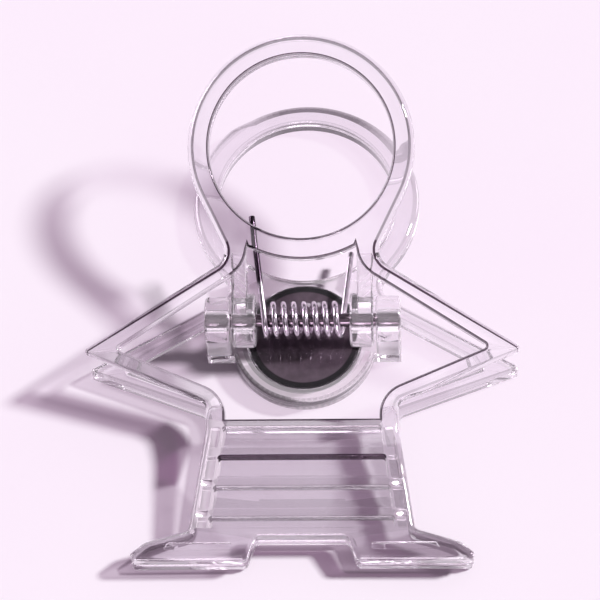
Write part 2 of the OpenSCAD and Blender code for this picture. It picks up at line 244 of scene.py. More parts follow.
def corner(a, b, c, r, steps=8):
    """Points of the arc of radius r that rounds the corner b between a and c."""
    if r == 0:
        return [b]
    a, b, c = (np.array(p[:2], float) for p in (a, b, c))
    u, w = (a - b) / np.linalg.norm(a - b), (c - b) / np.linalg.norm(c - b)
    half = math.acos(max(-1.0, min(1.0, float(u @ w)))) / 2
    middle = b + (u + w) / np.linalg.norm(u + w) * r / math.sin(half)
    p, q = b + u * r / math.tan(half) - middle, b + w * r / math.tan(half) - middle
    start = math.atan2(p[1], p[0])
    sweep = math.atan2(p[0] * q[1] - p[1] * q[0], p @ q)
    turns = [start + sweep * i / steps for i in range(steps + 1)]
    return [tuple(middle + r * np.array((math.cos(t), math.sin(t)))) for t in turns]


def rounded(path):
    """A loop from corners of (u, v, radius)."""
    n = len(path)
    return [p for i in range(n) for p in corner(path[i - 1], path[i][:2], path[(i + 1) % n], path[i][2])]


def area(loop):
    p = np.array(loop)
    q = np.roll(p, -1, 0)
    return float((p[:, 0] * q[:, 1] - q[:, 0] * p[:, 1]).sum()) / 2


def turned(loop, hole=False):
    """The loop with the material on its left: counterclockwise outside, clockwise round a hole."""
    clean = [p for i, p in enumerate(loop) if math.dist(p, loop[i - 1]) > 1e-6]
    return clean if (area(clean) > 0) != hole else clean[::-1]


def mitres(loop):
    """Unit moves of each point into the material."""
    p = np.array(loop)
    ahead = np.roll(p, -1, 0) - p
    ahead /= np.linalg.norm(ahead, axis=1)[:, None]
    left = np.stack((-ahead[:, 1], ahead[:, 0]), 1)
    both = left + np.roll(left, 1, 0)
    both /= np.linalg.norm(both, axis=1)[:, None]
    return both / np.maximum(LEAST_COSINE, (both * left).sum(1))[:, None]


def roundings(loop, radius):
    """Radius of the edge rounding at each point: less where the outline itself turns on a tighter radius."""
    if callable(radius):
        radius = np.array([radius(*q) for q in loop])
    p = np.array(loop)
    ahead = np.roll(p, -1, 0) - p
    length = np.linalg.norm(ahead, axis=1)
    way = np.arctan2(ahead[:, 1], ahead[:, 0])
    turn = (way - np.roll(way, 1) + math.pi) % (2 * math.pi) - math.pi
    reach = 0.5 * (length + np.roll(length, 1))
    bend = np.where(turn > STRAIGHT, reach / np.maximum(turn, STRAIGHT), NO_BEND)
    size = np.minimum(radius, BEND_SHARE * bend)
    for _ in range(3 * len(loop)):
        near = np.minimum(np.roll(size, 1) + GROWTH * np.roll(length, 1), np.roll(size, -1) + GROWTH * length)
        if (size <= near + 1e-9).all():
            break
        size = np.minimum(size, near)
    return size


def inside(points, loops):
    """Which points lie inside the loops, by the even-odd rule."""
    points = np.array(points)
    hit = np.zeros(len(points), bool)
    for loop in loops:
        a = np.array(loop)
        b = np.roll(a, -1, 0)
        for (x0, y0), (x1, y1) in zip(a, b):
            cross = (y0 > points[:, 1]) != (y1 > points[:, 1])
            with np.errstate(divide="ignore", invalid="ignore"):
                x = x0 + (points[:, 1] - y0) / (y1 - y0) * (x1 - x0)
            hit ^= cross & (points[:, 0] < x)
    return hit


def both_sides(path):
    return list(path) + [(-p[0], *p[1:]) for p in reversed(path)]


def meet(a, b, c, d):
    """Where the lines ab and cd meet."""
    a, b, c, d = (np.array(p, float) for p in (a, b, c, d))
    cross = lambda p, q: p[0] * q[1] - p[1] * q[0]
    return tuple(a + (b - a) * cross(c - a, d - c) / cross(b - a, d - c))


def beside(a, b, d):
    """The point a moved by d to the right of the way to b."""
    a, b = np.array(a, float), np.array(b, float)
    way = (b - a) / np.linalg.norm(b - a)
    return tuple(a + d * np.array((way[1], -way[0])))


# Rounded plates

EASE = [math.radians(a) for a in (0, 31, 41, 51, 62, 75, 90)]
EASE_POWER = 1.4        # at 1 an eased edge would be a plain arc
CHAMFER = EASE[0], EASE[-1]
FLOOR_STEPS = 5
SHARP = math.radians(32)
# Painted shade on the faces of an edge, seen through them, from the upper line to the lower one, in place of the dark
# that rounded clear edges refract, and how much lamp light they hold back (veil). In a pocket, the low line is its
# floor.
Tones = namedtuple("Tones", "line ease wall low_ease low_line veil")


def at(value, u, v):
    """A number, or a function of the place."""
    return value(u, v) if callable(value) else value


def mesh_object(name, bm):
    mesh = bpy.data.meshes.new(name)
    bm.to_mesh(mesh)
    bm.free()
    piece = bpy.data.objects.new(name, mesh)
    scene.collection.objects.link(piece)
    return piece


class Shell:
    """A closed plate between two faces, with rounded edges along its outline and holes."""

    def __init__(self, top, bottom, tone=0.0, veil=0.0, haze=0.0, low_haze=None, frost=0.0):
        self.bm = bmesh.new()
        self.layers = [self.bm.faces.layers.float.new(name) for name in FACE_LAYERS]
        self.top, self.bottom = top, bottom
        self.tone, self.veil, self.frost = tone, veil, frost
        self.haze, self.low_haze = haze, haze if low_haze is None else low_haze
        self.caps = {"top": [], "bottom": []}

    def point(self, u, v, d, side):
        """A vertex below the place (u, v) of a side, at the depth d in the plate."""
        top, bottom = self.top(u, v), self.bottom(u, v)
        if side == "bottom":
            top, bottom = bottom, top
        return self.bm.verts.new((top + (bottom - top).normalized() * d) * MM), (u, v)

    def face(self, corners, edge, veil):
        made = self.bm.faces.new([v for v, _ in corners])
        place = np.mean([q for _, q in corners], axis=0)
        for layer, value in zip(self.layers, (edge, veil, self.haze, self.frost)):
            made[layer] = at(value, *place)

    def ring(self, loop, inset, depth, side):
        """Points of the loop moved into the material by inset and into the plate by depth from a side."""
        moved = np.array(loop) + mitres(loop) * np.asarray(inset)[:, None]
        return [self.point(u, v, d, side) for (u, v), d in zip(moved, depth)]

    def join(self, a, b, edge, veil):
        n = len(a)
        for i in range(n):
            j = (i + 1) % n
            self.face((a[i], a[j], b[j], b[i]), edge, veil)

    def rim(self, loop, radius, side, line, ease, veil, turns=EASE):
        """Rings of the eased edge between a face and a wall, from the face. Two turns make a plain chamfer."""
        size = roundings(loop, radius)
        rings = []
        for t in turns:
            u, v = math.sin(t) ** EASE_POWER, math.cos(t) ** EASE_POWER
            rings.append(self.ring(loop, size * (1 - u), size * (1 - v), side))
        self.caps[side].append(rings[0])
        for k, (a, b) in enumerate(zip(rings, rings[1:])):
            self.join(a, b, line if k == 0 else ease, veil)
        return rings

    def edge(self, loop, radius, tones, low_radius=None):
        """A wall from face to face."""
        upper = self.rim(loop, radius, "top", tones.line, tones.ease, tones.veil)
        lower = self.rim(loop, low_radius or radius, "bottom", tones.low_line, tones.low_ease, tones.veil)
        self.join(upper[-1], lower[-1], tones.wall, tones.veil)
        return self

    def pocket(self, loop, radius, depth, side, floor_radius, tones, inner=(), turns=EASE):
        """A blind pocket. Inner places give its floor a shape where the depth is a function."""
        last = self.rim(loop, radius, side, tones.line, tones.ease, tones.veil, turns)[-1]
        ones = np.ones(len(loop))
        down = np.array([at(depth, *q) for q in loop])
        for k in range(FLOOR_STEPS + 1):
            t = math.pi / 2 * k / FLOOR_STEPS
            inset = -ones * floor_radius * (1 - math.cos(t))
            ring = self.ring(loop, inset, down - floor_radius * (1 - math.sin(t)), side)
            self.join(last, ring, tones.wall, tones.veil)
            last = ring
        floor = last + [self.point(u, v, at(depth, u, v), side) for u, v in inner]
        self.fill(floor, [len(last)], tones.low_line, tones.veil)
        return self

    def fill(self, corners, counts, edge, veil, creases=()):
        """Faces between closed rings of corners. The first counts give the rings, the rest are single points."""
        edges, rings, start = [], [], 0
        for n in counts:
            edges += [(start + i, start + (i + 1) % n) for i in range(n)]
            rings.append([q for _, q in corners[start:start + n]])
            start += n
        table = np.array([q for _, q in corners])
        for ends in creases:
            edges.append(tuple(int(np.argmin(((table - np.array(q)) ** 2).sum(1))) for q in ends))
        out = delaunay_2d_cdt([Vector(q) for _, q in corners], edges, [], 0, 1e-7)
        coords, faces, origin = out[0], out[2], out[3]
        assert len(coords) == len(corners), (len(coords), len(corners))
        keep = inside([tuple(sum((coords[i] for i in f), Vector((0, 0))) / len(f)) for f in faces], rings)
        for f, k in zip(faces, keep):
            if k:
                self.face([corners[origin[i][0]] for i in f], edge, veil)

    def close(self, creases=(), lines=()):
        """The two faces, the upper one first. Lines are closed loops that are drawn on the upper one."""
        for side, rings in self.caps.items():
            corners, marks = [q for ring in rings for q in ring], list(creases)
            for line in lines if side == "top" else ():
                corners += [self.point(u, v, 0.0, side) for u, v in line]
                marks += zip(line, line[1:] + line[:1])
            self.fill(corners, [len(ring) for ring in rings], self.tone, self.veil, marks)
            self.haze = self.low_haze
        bmesh.ops.recalc_face_normals(self.bm, faces=self.bm.faces)
        return self

    def object(self, name):
        return mesh_object(name, self.bm)


def united(name, parts):
    """One closed mesh from overlapping closed parts, flat on the faces and smooth round the edges."""
    piece = parts[0]
    piece.name = piece.data.name = name
    for part in parts[1:]:
        step = piece.modifiers.new("join", "BOOLEAN")
        step.operation, step.solver, step.object = "UNION", "MANIFOLD", part
    graph = bpy.context.evaluated_depsgraph_get()
    mesh = bpy.data.meshes.new_from_object(piece.evaluated_get(graph))
    piece.modifiers.clear()
    piece.data = mesh
    mesh.name = name
    for part in parts[1:]:
        bpy.data.objects.remove(part)
    mesh.shade_smooth()
    mesh.set_sharp_from_angle(angle=SHARP)
    normals = piece.modifiers.new("normals", "WEIGHTED_NORMAL")
    normals.weight, normals.keep_sharp = 80, True
    return piece


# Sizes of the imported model, in mm and degrees

HINGE_Y, HINGE_Z, TILT = 0.4, 7.2, 20.0
PLATE_T, TOE_T, ARM_BAND = 3.0, 2.1, 2.25
HEAD_R, HEAD_HOLE_R, HEAD_Y = 15.9, 12.9, 21.3
NECK_X, NECK_Y, NECK_BAND = 10.1, 6.7, 2.5
HAND_X, HAND_DROP, WAIST_X, WAIST_DROP, RAIL_W = 30.8, 5.6, 13.4, 12.4, 2.7
BEND_DROP, TOE_DROP, ANKLE_H, ANKLE_X = 14.6, 34.6, 4.4, 15.5
TOE_X, TOE_CAP, NOTCH_X, NOTCH_H = 23.6, 0.9, 6.4, 3.4
RIB_FIRST, RIB_STEP, RIB_W, RIB_COUNT, POCKET_D, POCKET_STOP = 0.3, 0.256, 1.35, 3, 1.1, 1.1
PANEL_D, PANEL_W, PANEL_IN = 0.4, 1.2, 0.4
LEVER_RISE, PIN_R, LUG_R, LUG_GAP, LUG_W, EAR_R, EAR_W = 3.6, 0.95, 3.8, 13.2, 3.3, 3.4, 3.5
SIDE_CLEAR, PIN_CLEAR, PIN_HOLD, JAW_GAP = 0.3, 0.05, 0.02, 0.1
MAGNET_R, MAGNET_T, MAGNET_CLEAR = 8.0, 2.2, 0.1
EAR_X = LUG_GAP / 2 + LUG_W + SIDE_CLEAR
SIN, COS = deg_sin(TILT), deg_cos(TILT)

# Finish of the edges, in mm

OUTER_ROUND, HOLE_ROUND, LEG_ROUND, NOTCH_ROUND = 0.9, 0.34, 0.58, 0.4
LUG_ROUND, BAR_ROUND, BORE_ROUND = 0.35, 0.25, 0.12
SHALLOW_ROUND, SHALLOW_FOOT = 0.06, 0.02
# Faint painted shade on the edges of the lugs and ears
LUG_EDGE = Tones(0.12, 0.06, 0.0, 0.06, 0.12, 0.2)


def lift(y):
    """The place along the tilted lever that stands over y from the pin."""
    return (y + LEVER_RISE * SIN) / COS


def on_lever(x):
    """Faces across the clip at x, in the plane of the lever, for points (v, w) from the pin."""
    return lambda v, w: Vector((x, HINGE_Y + v * COS - w * SIN, HINGE_Z + v * SIN + w * COS))


def on_rear(x):
    """The same, level, for points (y, z) from the pin."""
    return lambda y, z: Vector((x, HINGE_Y + y, HINGE_Z + z))


# Front lever. A point is (x, s): s runs along the tilted plate above the bend, and on along the legs in plan.

NECK, HAND, WAIST = (NECK_X, lift(NECK_Y)), (HAND_X, lift(-HAND_DROP)), (WAIST_X, lift(-WAIST_DROP))
HEAD = (0.0, lift(HEAD_Y))
BEND_S = lift(-BEND_DROP)
BEND_Z = HINGE_Z + BEND_S * SIN + LEVER_RISE * COS
TOE_Z = TOE_T + JAW_GAP + TOE_T / 2
LEG_TILT = math.atan2(BEND_Z - TOE_Z, TOE_DROP - BEND_DROP)
BEND_HALF = (math.radians(TILT) - LEG_TILT) / 2
BEND_WAY = np.array((-math.sin(LEG_TILT + BEND_HALF), math.cos(LEG_TILT + BEND_HALF)))
BEND_REACH = PLATE_T / 2 / math.cos(BEND_HALF) * BEND_WAY
FADE_UP, FADE_DOWN = 2.0, 3.0       # the faces' shift at the bend fades over these lengths
LEG_TOP, KNEE_SHARE = BEND_DROP + 2, 0.3
# A point on the leg's outer edge, as its x and its drop
KNEE = (WAIST_X + (ANKLE_X - WAIST_X) * KNEE_SHARE, LEG_TOP + (TOE_DROP - ANKLE_H - LEG_TOP) * KNEE_SHARE)


def leg_s(drop):
    """The s of a place on the legs that lies by a drop below the pin, towards the feet."""
    return BEND_S + BEND_DROP - drop


def leg_drop(s):
    return BEND_S + BEND_DROP - s


def lever_face(sign):
    """The front lever's outer (1) or inner (-1) face as a function of (x, s)."""
    bend = np.array((-BEND_DROP, BEND_Z)) + sign * BEND_REACH
    toe = np.array((-TOE_DROP, TOE_Z + sign * TOE_T / 2))
    slope = (toe[1] - bend[1]) / (toe[0] - bend[0])
    w = LEVER_RISE + sign * PLATE_T / 2
    shift = sign * PLATE_T / 2 * math.tan(BEND_HALF)

    def face(x, s):
        if s >= BEND_S:
            return on_lever(x)(s + shift * max(0.0, 1 - (s - BEND_S) / FADE_UP), w)
        y = s - BEND_S - BEND_DROP
        y += sign * BEND_REACH[0] * max(0.0, 1 - (-BEND_DROP - y) / FADE_DOWN)
        return Vector((x, HINGE_Y + y, bend[1] + slope * (y - bend[0])))
    return face


def lever_outline():
    """The outline from just right of the top down to the notch, and its mirror image. Corners are (x, s, radius)."""
    turn = math.atan2(NECK[1] - HEAD[1], NECK[0] - HEAD[0]) + math.acos(HEAD_R / math.dist(NECK, HEAD))
    ring = [(*p, 0) for p in arc(HEAD, HEAD_R, 88.5, math.degrees(turn), 48)]
    instep, toe_slant, notch_slant = 1.8, 0.5, 1.2
    leg = [(WAIST_X, BEND_S, 0), (WAIST_X, leg_s(LEG_TOP), 6), (KNEE[0] + KINK, leg_s(KNEE[1]), 0),
           (ANKLE_X, leg_s(TOE_DROP - ANKLE_H), 0.8)]
    foot = [(TOE_X - instep, leg_s(TOE_DROP - TOE_CAP - instep), 3), (TOE_X, leg_s(TOE_DROP - TOE_CAP), 0.55),
            (TOE_X - toe_slant, leg_s(TOE_DROP), 0.55), (NOTCH_X + notch_slant, leg_s(TOE_DROP), 0.8),
            (NOTCH_X, leg_s(TOE_DROP - NOTCH_H), 0.8)]
    return rounded(both_sides(ring + [(*NECK, 2.4), (*HAND, 0.55), (*WAIST, 1.0)] + leg + foot))


def lever_window():
    """The open chest and arms, as corners of (x, s, radius)."""
    in_x, hip_x = NECK_X - NECK_BAND, WAIST_X - RAIL_W
    side = math.degrees(math.acos(in_x / HEAD_R))
    strip = [(*p, 0) for p in arc(HEAD, HEAD_R, -89.5, -side, 10)]
    s1, s2 = beside(NECK, HAND, ARM_BAND), beside(HAND, NECK, -ARM_BAND)
    a1, a2 = beside(HAND, WAIST, ARM_BAND), beside(WAIST, HAND, -ARM_BAND)
    armpit = meet(s1, s2, (in_x, 0), (in_x, 1))
    hip = meet(a1, a2, (hip_x, 0), (hip_x, 1))
    arm = [(*armpit, 5), (*meet(s1, s2, a1, a2), 0.4), (*hip, 4.5), (hip_x, BEND_S, 0)]
    return rounded(both_sides(strip + arm))


def pocket_ends():
    """Drops of the upper and lower ends of the pockets."""
    notch = TOE_DROP - NOTCH_H
    rib = lambda i: BEND_DROP + (RIB_FIRST + i * RIB_STEP) * (notch - BEND_DROP)
    for i in range(RIB_COUNT + 1):
        yield (BEND_DROP + RIB_W if i == 0 else rib(i - 1) + RIB_W / 2,
               notch - POCKET_STOP if i == RIB_COUNT else rib(i) - RIB_W / 2)


def rail_x(drop):
    """The inner edge of the rail beside the pockets."""
    return WAIST_X - RAIL_W + (ANKLE_X - WAIST_X) * (drop - BEND_DROP) / (TOE_DROP - ANKLE_H - BEND_DROP)


# Where the tones of the lever change, in mm

RING_S, NECK_S, ARM_S, LEG_S = NECK[1] + 2.5, 3, BEND_S + 1, BEND_S + 4
RING_DIM_S, HAND_S, KNEE_S = HEAD[1] + 4, HAND[1] + 2, leg_s(KNEE[1])
FEET_S, NOTCH_S = leg_s(TOE_DROP - ANKLE_H), leg_s(TOE_DROP - NOTCH_H)
INSTEP_S = FEET_S + 0.8
RING_MID_X, RING_SIDE_X, TOE_SIDE_X, SHIN_X = 8, 6, 5, 4
WALL_X, RAIL_X, ARM_X, FOREARM_X, TIP_X = 10, 10.5, 11, 12.5, 28
NECK_OUT_X, LEG_OUT_X = NECK_X + 2, WAIST_X + 2.5


def lever_veil(x, s):
    """How much lamp light the walls of the lever hold back."""
    if s > RING_S:
        return 0.6 if x < -RING_MID_X else 0.55 if x > RING_MID_X else 0.15
    if s < FEET_S:
        return 0.5 if x < -TOE_SIDE_X else 0.9
    if s < LEG_S and abs(x) < LEG_OUT_X:
        if abs(x) < WALL_X:
            return 0.3
        return 0.85 if x > 0 else 1.0 if s > KNEE_S else 0.6
    if x > 0:
        return 0.6 if x < NECK_X else 0.06
    return 0.65 if s < HAND_S else 0.55


def lever_face_veil(x, s):
    """How much lamp light the faces of the lever hold back."""
    if s > RING_S:
        return 0.3 if x > RING_SIDE_X and s < RING_DIM_S else 0.0
    if s < FEET_S:
        return 0.1 if x < 0 else 0.4
    if s < LEG_S and x < -RAIL_X:
        return 0.7 if s > KNEE_S else 0.3
    if s < BEND_S:
        return 0.2 if x > SHIN_X else 0.03
    return 0.35 if SHIN_X < x < NECK_OUT_X and s > NECK_S else 0.0


def lever_face_shade(x, s):
    """Painted shade, in place of the shaded floor seen through: the leg plate between the rails is darker, most at
    the waist, and so is the left lower arm, and the feet a little.
    """
    if s < INSTEP_S:
        return 0.08
    if s < BEND_S and abs(x) < rail_x(leg_drop(s)):
        return 0.5 if s > leg_s(BEND_DROP + RIB_W) else 0.28
    return 0.22 if x < -FOREARM_X and ARM_S < s < HAND[1] else 0.0


def lever_haze(x, s):
    """The tips of the hands are cloudy. The left rail is made cloudy too, so that the lamp lights it: painted light
    in place of the light the clear plastic gathers there.
    """
    if abs(x) > TIP_X:
        return 0.3
    return 0.45 if x < -RAIL_X and FEET_S < s < BEND_S else 0.0


def lever_low_haze(x, s):
    """On the inner face, only the tips are cloudy."""
    return 0.3 if abs(x) > TIP_X else 0.0


def outer_line(x, s):
    """The painted dark line round the lever, in place of the dark its rounded edge refracts: dark along the upper
    arms, faint at the lower ones, all but none on the legs.
    """
    if s > RING_S:
        return 0.8
    if s > ARM_S:
        return 1.0 if s > HAND[1] else 0.4
    return 0.0 if x < 0 else 0.1


def on_left_arm(x, s):
    return x < -ARM_X and s < RING_S


def hole_line(x, s):
    """The painted dark line round the head's hole and the window: fainter on the left arm."""
    return 0.45 if on_left_arm(x, s) else 1.0


def hole_ease(x, s):
    return 0.85 if s > RING_S else 0.3 if on_left_arm(x, s) else 0.95


# Painted shade along the lever's outline and round its holes
FRONT_EDGE = Tones(outer_line, 0.05, 0.06, 0.08, 0.2, lever_veil)
FRONT_HOLE = Tones(hole_line, hole_ease, 0.03, 0.08, 0.4, lever_veil)


def lever_rounding(x, s, near=0.5):
    """How far the lever's outer edge is rounded: less in the notch and along the legs."""
    if abs(x) < NOTCH_X + near and s < NOTCH_S + near:
        return NOTCH_ROUND
    return LEG_ROUND if NOTCH_S < s < ARM_S and abs(x) < ANKLE_X + near else OUTER_ROUND


# Pockets of the lever's legs: how much painted shade each floor gets and from which share of its length, how much
# painted shade its upper edge gets and how far that is rounded
RIB_POCKETS = (0.12, 0.5, 0.7, 0.3), (0.25, 0.82, 1.0, 0.6), (0.35, 0.45, 0.7, 0.3), (0.08, 0.0, 0.7, 0.3)
FLOOR_FLAT, FLOOR_END_D, FLOOR_FOOT, POCKET_CORNER, LOW_LIP = 0.35, 0.3, 0.1, 0.35, 0.15
FLOOR_ROWS = 0.2, 0.35, 0.45, 0.55, 0.64, 0.72, 0.8, 0.87
FLOOR_COLUMNS, FLOOR_MARGIN = (-1, -0.5, 0, 0.5, 1), 0.4
PANEL_RAMP, PANEL_SLOPE, PANEL_TOP, PANEL_CORNER = 0.37, 0.8, 0.1, 0.2
GLINT_SLOPE, GLINT_BACK, GLINT_TOP, GLINT_RAMP = 0.5, 0.75, 0.1, 1.3
TOE_RECESS, TOE_RECESS_D = ((9.6, 32.2), (18.3, 32.2), (18.9, 33.1), (9.6, 33.1)), 0.35
DIMPLE_H, DIMPLE_W, DIMPLE_D = 0.7, 1.5, 0.7


def rib_pocket(shell, start, end, floor_shade, floor_shade_from, dark, lip):
    """One pocket between the rails, from drop to drop."""
    upper = leg_s(start)

    def share(s):
        return (leg_drop(s) - start) / (end - start)

    def depth(x, s):
        """Full at the upper end, and rising in a curve to the rib at the lower end."""
        rise = min(1.0, max(0.0, (share(s) - FLOOR_FLAT) / (1 - FLOOR_FLAT)))
        return POCKET_D - (POCKET_D - FLOOR_END_D) * (1 - math.sqrt(max(0.0, 1 - rise ** 2)))

    def along_top(value, other, reach):
        """One value along the upper edge and another elsewhere."""
        return lambda x, s: value if s > upper - reach else other

    # Painted shade: a dark upper edge and a shaded lower end of the floor, in place of the dark the ribs refract and
    # mirror
    tones = Tones(line=along_top(dark, 0.2, 0.5), ease=along_top(dark, 0.15, 0.5), wall=along_top(dark, 0.1, 0.4),
                  low_ease=0.0, low_line=lambda x, s: floor_shade if share(s) > floor_shade_from else 0.0, veil=0.06)
    loop = rounded(both_sides([(rail_x(start), upper, POCKET_CORNER), (rail_x(end), leg_s(end), POCKET_CORNER)]))
    drops = [start + (end - start) * t for t in FLOOR_ROWS]
    inner = [(m * (rail_x(d) - FLOOR_MARGIN), leg_s(d)) for d in drops for m in FLOOR_COLUMNS]
    shell.pocket(turned(loop, True), along_top(lip, LOW_LIP, 0.3), depth, "top", FLOOR_FOOT, tones, inner)


def rail_panel(shell, side, start, end):
    """A shallow panel on a rail, beside a pocket, with a ramp at its upper end."""
    upper, fold = leg_s(start), start + PANEL_RAMP
    near, far, r = PANEL_IN, PANEL_IN + PANEL_W, PANEL_CORNER
    path = ((start, near, r), (start, far, r), (fold, far + KINK, 0), (end, far, r), (end, near, r),
            (fold, near - KINK, 0))
    loop = rounded([(side * (rail_x(d) + m), leg_s(d), r) for d, m, r in path])
    inner = [(side * (rail_x(fold) + m), leg_s(fold)) for m in (near + 0.15, far - 0.15)]
    # Painted shade on the floors of the right panels, below their ramps
    tones = Tones(line=0.0, ease=0.0, wall=0.1, low_ease=0.0,
                  low_line=lambda x, s: 0.4 if x > 0 and s < upper - PANEL_RAMP else 0.0, veil=0.1)
    depth = lambda x, s: min(PANEL_D, PANEL_TOP + PANEL_SLOPE * (upper - s))
    shell.pocket(turned(loop, True), SHALLOW_ROUND, depth, "top", SHALLOW_FOOT, tones, inner, CHAMFER)


def glinting(shell, loop, floor):
    """A shallow pocket whose left end is a ramp that mirrors the lamp, with a floor at another depth behind it."""
    low = min(x for x, _ in loop)
    steep = GLINT_TOP + GLINT_SLOPE * GLINT_RAMP

    def depth(x, s):
        x -= low
        return GLINT_TOP + GLINT_SLOPE * x if x < GLINT_RAMP else max(floor, steep - GLINT_BACK * (x - GLINT_RAMP))

    rows = [s for _, s in loop]
    rows = [min(rows) + (max(rows) - min(rows)) * t for t in (0.12, 0.88)]
    width = max(x for x, _ in loop) - low
    folds = GLINT_RAMP, GLINT_RAMP + (steep - floor) / GLINT_BACK
    inner = [(low + m, s) for m in folds for s in rows if m < width - 0.1]
    # Painted shade on the walls
    tones = Tones(0.0, 0.0, 0.35, 0.0, 0.0, 0.1)
    shell.pocket(turned(loop, True), SHALLOW_ROUND, depth, "top", SHALLOW_FOOT, tones, inner, CHAMFER)


def front_plate():
    shell = Shell(lever_face(1), lever_face(-1), lever_face_shade, lever_face_veil, lever_haze, lever_low_haze)
    shell.edge(turned(lever_outline()), lever_rounding, FRONT_EDGE)
    shell.edge(turned(circle(HEAD, HEAD_HOLE_R, 128), True), HOLE_ROUND, FRONT_HOLE)
    shell.edge(turned(lever_window(), True), HOLE_ROUND, FRONT_HOLE)
    ends = list(pocket_ends())
    for (start, end), finish in zip(ends, RIB_POCKETS):
        rib_pocket(shell, start, end, *finish)
        for side in (1, -1):
            rail_panel(shell, side, start, end)
    for side in (1, -1):
        glinting(shell, rounded([(side * x, leg_s(d), 0.2) for x, d in TOE_RECESS]), TOE_RECESS_D)
        for _, end in ends[1:RIB_COUNT]:
            low, high = end + RIB_W / 2 - DIMPLE_H / 2, end + RIB_W / 2 + DIMPLE_H / 2
            near, far = PANEL_IN, PANEL_IN + DIMPLE_W
            path = (low, near), (low, far), (high, far), (high, near)
            glinting(shell, rounded([(side * (rail_x(d) + m), leg_s(d), 0.1) for d, m in path]), DIMPLE_D)
    outer, hip = (WAIST_X - OUTER_ROUND, BEND_S), (WAIST_X - RAIL_W + HOLE_ROUND, BEND_S - HOLE_ROUND)
    creases = [((side * outer[0], outer[1]), (side * hip[0], hip[1])) for side in (1, -1)]
    return shell.close(creases).object("front_plate")


def lever_lugs():
    """Round lugs with their arms, right and left."""
    foot_turn, arm_end, rise = 40.0, lift(NECK_Y) + 1.2, PLATE_T / 2 - 0.4
    inner, outer, arm_in = LUG_GAP / 2, LUG_GAP / 2 + LUG_W, NECK_X - NECK_BAND + 0.08
    hole, disc = circle((0, 0), PIN_R + PIN_CLEAR, 48), circle((0, 0), LUG_R, 96)
    foot = (LUG_R * deg_cos(foot_turn), -LUG_R * deg_sin(foot_turn))
    near, past_pin = 0.4, PIN_R + 0.9
    arm = [(near, LUG_R - 0.05), (near, past_pin), (past_pin, near), (foot[0] - 0.2, foot[1] + 0.3),
           (arm_end, LEVER_RISE - rise), (arm_end, LEVER_RISE + rise)]
    made = []
    for side in (1, -1):
        lug = Shell(on_lever(side * outer), on_lever(side * inner), veil=0.1, haze=0.07)
        lug.edge(turned(disc), LUG_ROUND, LUG_EDGE).edge(turned(hole, True), BORE_ROUND, LUG_EDGE)
        made.append(lug.close().object("lug"))
        bar = Shell(on_lever(side * (outer - 0.06)), on_lever(side * arm_in), veil=0.1, haze=0.04)
        made.append(bar.edge(turned(arm), BAR_ROUND, LUG_EDGE).close().object("arm"))
    return made


# Rear half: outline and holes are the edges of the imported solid's flat back

def flat_loops(mesh, z):
    """Closed edge loops, in mm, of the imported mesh's flat face at a height."""
    key = lambda i: tuple(round(c / MM, 4) for c in mesh.vertices[i].co)
    count, way = {}, {}
    mesh.calc_loop_triangles()
    for t in mesh.loop_triangles:
        pts = [key(i) for i in t.vertices]
        if all(abs(p[2] - z) < 1e-3 for p in pts):
            for a, b in zip(pts, pts[1:] + pts[:1]):
                count[frozenset((a, b))] = count.get(frozenset((a, b)), 0) + 1
                way[(a, b)] = True
    nxt = {a: b for a, b in way if count[frozenset((a, b))] == 1}
    loops = []
    while nxt:
        start = next(iter(nxt))
        loop, p = [], start
        while p in nxt:
            loop.append(p[:2])
            p = nxt.pop(p)
        loops.append(loop)
    return loops


# Where the tones of the rear half change, in mm and degrees

REAR_RING_Y, REAR_ARM_Y, REAR_FEET_Y = 10, -6, -28
REAR_ARM_X, REAR_LINE_X, REAR_TIP_X = 13, 25, 27
RING_TOP_Y, RING_TOP_X, RING_TOP_ROUND = 26, -11, 1.9
BAND_TURNS, BAND_SHADES = (-40, 10, 40, 60, 105, 150), (0.1, 0.45, 0.6, 0.92, 0.92, 0.1)
CUP_IN, CUP_OUT, CUP_RINGS, CUP_SECTOR = 8.3, 10.8, (8.35, 9.0, 9.7), (195, 345)
CUP_HAZE_Y, CUP_SHADE_Y = -2, -3
CUP_RIM, CUP_FOOT = 0.15, 0.1


def rear_top(x, y):
    """The upper face, which falls towards the toes below the bend of the lever."""
    drop = HINGE_Y - y
    slope = (TOE_T - PLATE_T) / (TOE_DROP - BEND_DROP)
    return Vector((x, y, PLATE_T + slope * max(0.0, drop - BEND_DROP)))


def rear_veil(x, y):
    """How much lamp light the walls of the rear half hold back."""
    if y > REAR_RING_Y:
        return 0.05
    if y < -BEND_DROP:
        return 0.6 if y < REAR_FEET_Y else 0.35
    return 0.04 if x > 0 else 0.3


def rear_face_veil(x, y):
    return 0.03 if y < -BEND_DROP else 0.0


def rear_face_shade(x, y):
    """Painted shade on the outer ring of the cup below the pin."""
    return 0.3 if y < CUP_SHADE_Y and CUP_RINGS[2] < math.hypot(x, y) < CUP_OUT else 0.0


def rear_painted_band(x, y):
    """Painted grey shade on the outer wall: through the top of the ring and at its right it stands in for the shaded
    floor that the wall mirrors, and it also lies along the lower arms.
    """
    if y < REAR_RING_Y:
        return 0.25 if y < REAR_ARM_Y and REAR_ARM_X < abs(x) < REAR_TIP_X else 0.1
    return float(np.interp(math.degrees(math.atan2(y - HINGE_Y - HEAD_Y, x)), BAND_TURNS, BAND_SHADES))


# Painted dark line round the rear half
def rear_line(x, y):
    if y > REAR_RING_Y:
        return max(0.35, rear_painted_band(x, y))
    return 0.5 if abs(x) < REAR_LINE_X else 0.1


def rear_haze(x, y):
    """The cup's rings and the hands are cloudy."""
    reach = math.hypot(x, y)
    if CUP_IN < reach < CUP_OUT:
        return 0.6 if y < CUP_HAZE_Y and CUP_RINGS[1] < reach < CUP_RINGS[2] else 0.3
    return 0.45 if abs(x) > REAR_TIP_X else 0.0


